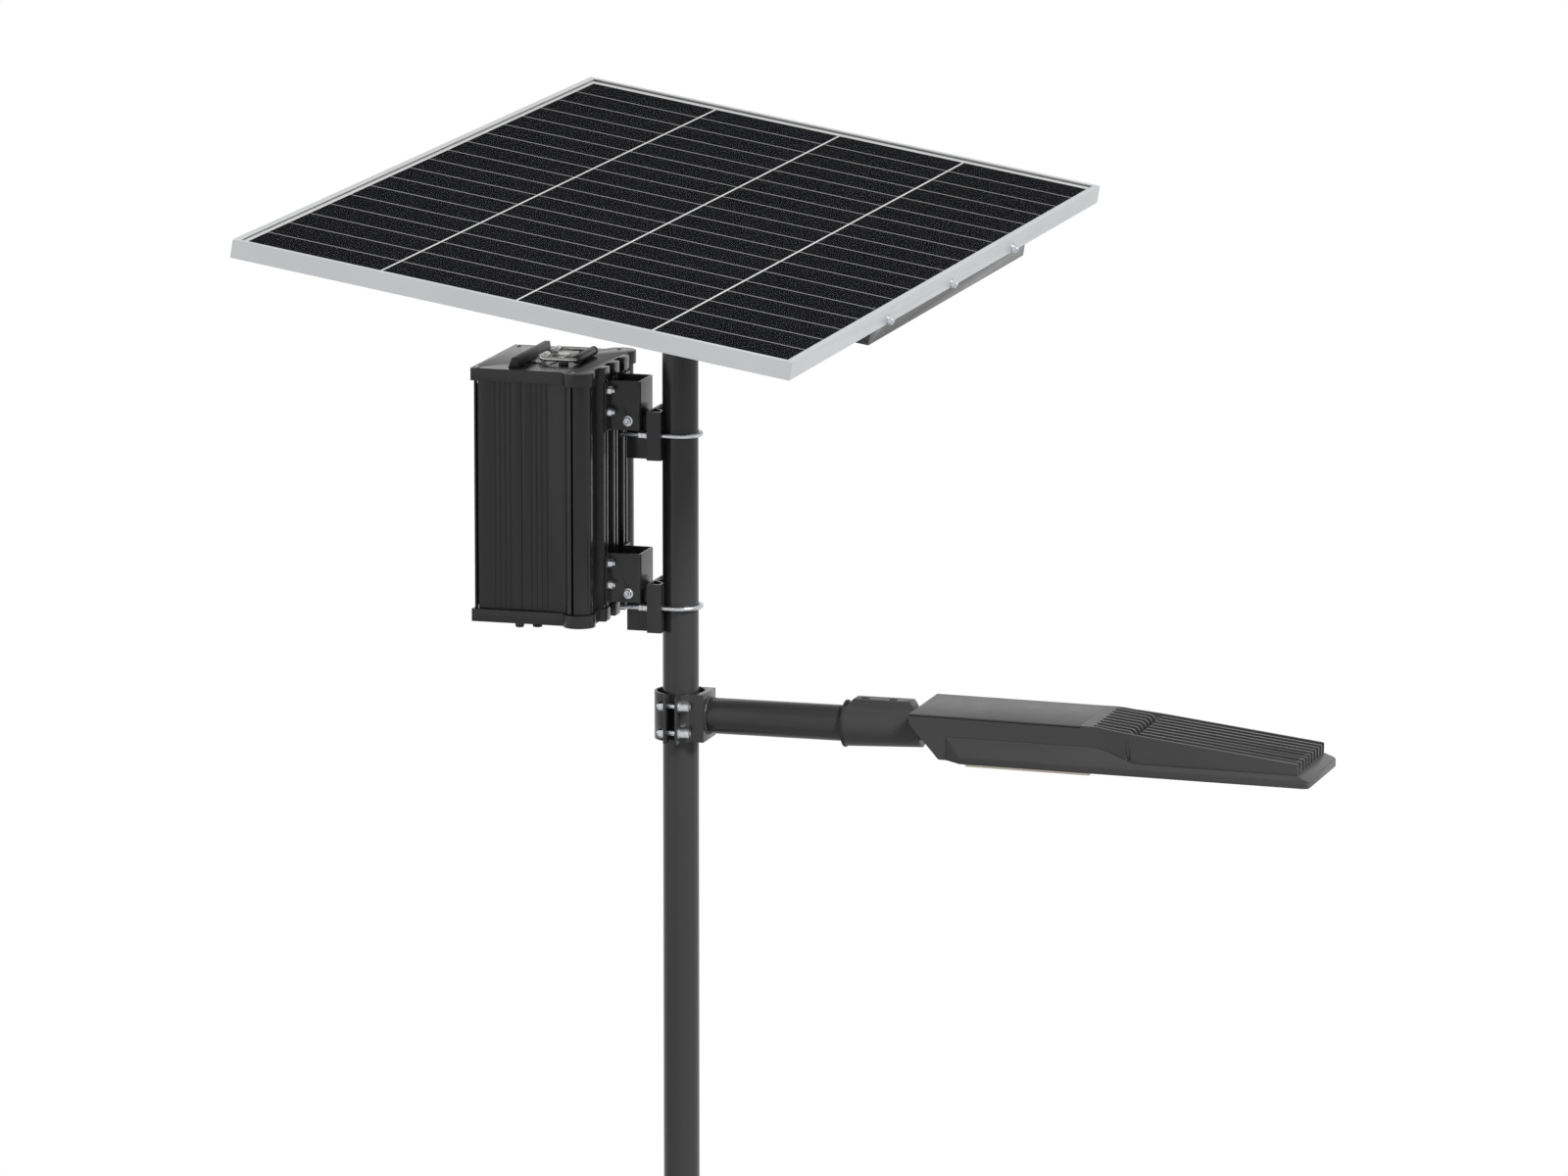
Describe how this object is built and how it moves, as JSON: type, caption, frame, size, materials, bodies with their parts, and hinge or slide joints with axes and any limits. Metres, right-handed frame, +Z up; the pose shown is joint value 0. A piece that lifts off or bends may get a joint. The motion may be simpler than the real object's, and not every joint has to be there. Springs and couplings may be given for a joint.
{
  "type": "solar street lamp",
  "caption": "Pole-mounted split solar street lamp: framed panel on a tilting pole-top mount, clamped battery box with carrying handle, finned LED lantern on a side arm.",
  "frame": {"origin": "centre of the base flange underside, on the axis of the pole", "axes": "+Z up along the pole, +X along the lantern arm, +Y along the long side of the solar panel"},
  "size_m": [1.558, 1.908, 3.6863],
  "materials": {
    "black_steel": "satin black powder coat on steel",
    "dark_casting": "black powder coat on die-cast aluminium",
    "black_case": "black powder coat on extruded aluminium",
    "zinc": "bright zinc plate",
    "black_screws": "black oxide steel",
    "bare_steel": "bare stainless steel",
    "anodised": "silver anodised aluminium",
    "rubber": "black silicone rubber",
    "grip_rubber": "black vinyl grip",
    "black_plastic": "black nylon",
    "tray_plastic": "dark grey ABS",
    "cell_wrap": "aluminium cell cans in blue film",
    "circuit_board": "green circuit board",
    "panel_glass": "clear toughened glass",
    "silicon": "dark monocrystalline silicon under film",
    "white_sheet": "white back sheet",
    "lens": "cream translucent polycarbonate",
    "white_board": "white solder mask on an aluminium-core board",
    "phosphor": "yellow phosphor"
  },
  "bodies": {
    "pole": {"pole_tube": "black_steel", "base_flange": "black_steel", "base_gussets": "black_steel", "arm_clamp_front": "black_steel", "arm_clamp_back": "black_steel", "arm_clamp_screws": "zinc", "arm_clamp_nuts": "zinc", "arm_tube": "black_steel", "spigot_sleeve": "dark_casting", "spigot_seal": "rubber", "spigot_screws": "black_screws", "case_body": "black_case", "case_top_cap": "black_case", "case_bottom_cap": "black_case", "case_gaskets": "rubber", "cap_screws": "zinc", "handle_plate": "bare_steel", "handle_rests": "black_plastic", "cable_socket": "black_plastic", "battery_cells": "cell_wrap", "cell_tray": "tray_plastic", "charge_controller": "circuit_board", "case_bracket_upper": "black_steel", "case_bracket_lower": "black_steel", "pole_bracket_upper": "black_steel", "pole_bracket_lower": "black_steel", "u_bolts": "zinc", "u_bolt_nuts": "zinc", "t_bolts": "zinc", "cross_bolts": "zinc"},
    "top_mount": {"pole_sleeve": "black_steel", "sleeve_screws": "zinc", "tilt_pivot_bolt": "zinc"},
    "panel": {"panel_saddle": "black_steel", "cross_beams": "anodised", "side_rail_left": "black_steel", "side_rail_right": "black_steel", "rail_bolts": "zinc", "frame_left": "anodised", "frame_right": "anodised", "frame_front": "anodised", "frame_back": "anodised", "panel_glass": "panel_glass", "cell_strings": "silicon", "back_sheet": "white_sheet", "junction_box": "black_plastic", "tilt_lock_bolt": "zinc"},
    "lantern": {"lamp_housing": "dark_casting", "lamp_top_cover": "dark_casting", "lamp_base": "dark_casting", "lamp_lens": "lens", "lamp_gasket": "rubber", "led_board": "white_board", "led_chips": "phosphor", "led_driver": "bare_steel", "lamp_pivot_bolt": "zinc", "lamp_side_screws": "black_screws"},
    "handle": {"handle_bail": "bare_steel", "handle_grip": "grip_rubber"},
    "button": {"power_button": "black_plastic"}
  },
  "joints": [
    {"name": "panel_turn", "type": "hinge", "parent": "pole", "child": "top_mount", "pos_m": [0, 0, 3.475], "axis": [0, 0, 1], "range_deg": [-180, 180]},
    {"name": "panel_tilt", "type": "hinge", "parent": "top_mount", "child": "panel", "pos_m": [0, 0, 3.55], "axis": [0, 1, 0], "range_deg": [-9.5, 15.5]},
    {"name": "lantern_tilt", "type": "hinge", "parent": "pole", "child": "lantern", "pos_m": [0.452, 0, 2.7745], "axis": [0, 1, 0], "range_deg": [-10, 10]},
    {"name": "handle_lift", "type": "hinge", "parent": "pole", "child": "handle", "pos_m": [-0.2254, 0, 3.3615], "axis": [0, -1, 0], "range_deg": [0, 100]},
    {"name": "power_press", "type": "slide", "parent": "pole", "child": "button", "axis": [0, 0, 1], "range_m": [0, 0.003], "stiffness_N_per_m": 500, "springref_m": -0.001}
  ]
}
